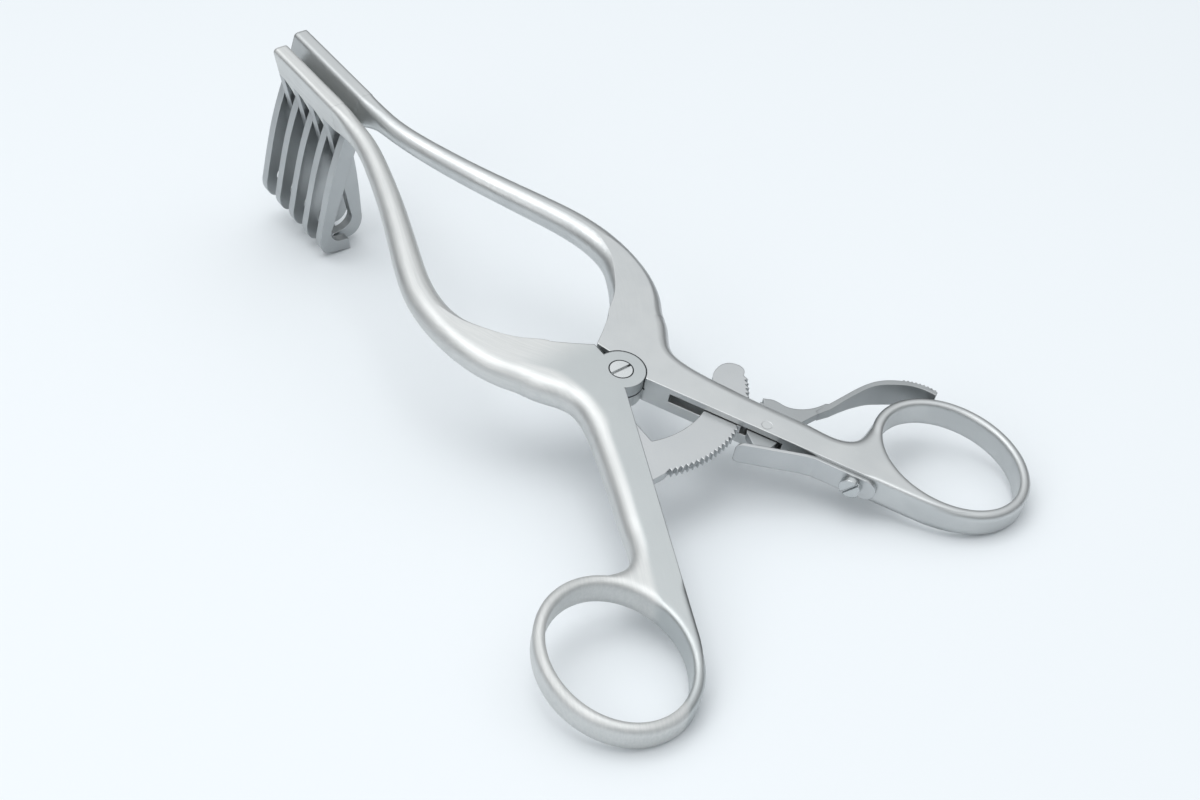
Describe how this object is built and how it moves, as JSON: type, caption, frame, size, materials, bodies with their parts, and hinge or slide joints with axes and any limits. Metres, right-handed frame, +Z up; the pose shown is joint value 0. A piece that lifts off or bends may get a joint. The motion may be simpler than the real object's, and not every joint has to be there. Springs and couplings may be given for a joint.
{
  "type": "rake retractor",
  "caption": "Self-retaining surgical retractor: ring handles on a lap joint, curved arms with interleaving hooked rakes, toothed bar with release lever.",
  "frame": {"origin": "centre of the bounding box on the table plane, with the instrument at rest on its rings and innermost prong", "axes": "+X from the finger rings towards the rakes, +Y towards the half with four prongs, +Z up"},
  "size_m": [0.2172, 0.1234, 0.0557],
  "materials": {
    "halves": "satin, bead blasted",
    "prong": "satin, bead blasted",
    "screws": "fine turned, satin",
    "ratchet": "satin, bead blasted",
    "lever": "satin, bead blasted",
    "spring": "satin, bead blasted"
  },
  "bodies": {
    "right": {"right_half": "halves", "right_prong_1": "prong", "right_prong_2": "prong", "right_prong_3": "prong", "right_prong_4": "prong", "right_prong_5": "prong", "pivot_screw": "screws", "lever_pin": "screws", "leaf_spring": "spring", "spring_screw": "screws"},
    "left": {"left_half": "halves", "left_prong_1": "prong", "left_prong_2": "prong", "left_prong_3": "prong", "left_prong_4": "prong", "ratchet_bar": "ratchet"},
    "lever": {"release_lever": "lever"}
  },
  "joints": [
    {"name": "jaw_opening", "type": "hinge", "parent": "right", "child": "left", "pos_m": [-0.03613, 0, 0.02364], "axis": [-0.2345, 0, 0.9721], "range_deg": [0, 37.8]},
    {"name": "lever_swing", "type": "hinge", "parent": "right", "child": "lever", "pos_m": [-0.06438, -0.01682, 0.01682], "axis": [-0.2345, 0, 0.9721], "range_deg": [0, 22]}
  ]
}
